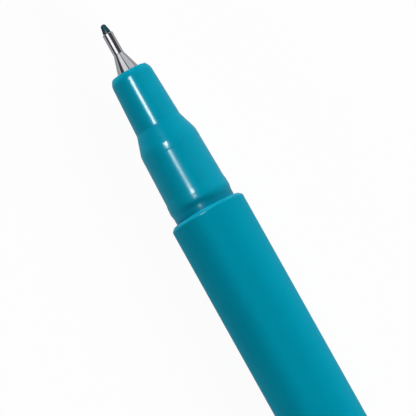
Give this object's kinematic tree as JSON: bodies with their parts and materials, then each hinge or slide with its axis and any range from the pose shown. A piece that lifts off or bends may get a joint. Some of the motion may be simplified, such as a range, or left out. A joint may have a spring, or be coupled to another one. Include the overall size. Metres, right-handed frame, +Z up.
{
  "type": "fineliner pen",
  "caption": "Slim fineliner pen with a matt barrel, glossy stepped nose, steel needle tip and dark nib; its flush cap with a pocket clip is posted on the tail and pulls off.",
  "frame": {"origin": "middle of the barrel, on the pen's axis", "axes": "+X along the pen towards the nib, +Z up; the pen lies on a table at z = -4 mm, on the barrel, the cap and the clip's edge"},
  "size_m": [0.1495, 0.0099, 0.008],
  "materials": {
    "barrel_plastic": "fine matt moulded grain",
    "nose_plastic": "glossy, polished mould",
    "tip_steel": "drawn stainless steel, polished",
    "nib_plastic": "porous rod soaked with dark teal ink",
    "white_plastic": "natural moulded",
    "ink_fibre": "bonded fibre soaked with ink",
    "film_plastic": "thin glossy film"
  },
  "bodies": {
    "pen": {"barrel": "barrel_plastic", "nose_section": "nose_plastic", "tip_sleeve": "tip_steel", "nib": "nib_plastic", "nib_collar": "white_plastic", "ink_reservoir": "ink_fibre", "reservoir_film": "film_plastic", "end_plug": "nose_plastic"},
    "cap": {"cap_shell": "barrel_plastic", "inner_cap": "white_plastic", "clip_crown": "nose_plastic"}
  },
  "joints": [
    {"name": "cap_pull", "type": "slide", "parent": "pen", "child": "cap", "axis": [-1, 0, 0], "range_m": [0, 0.03]}
  ]
}
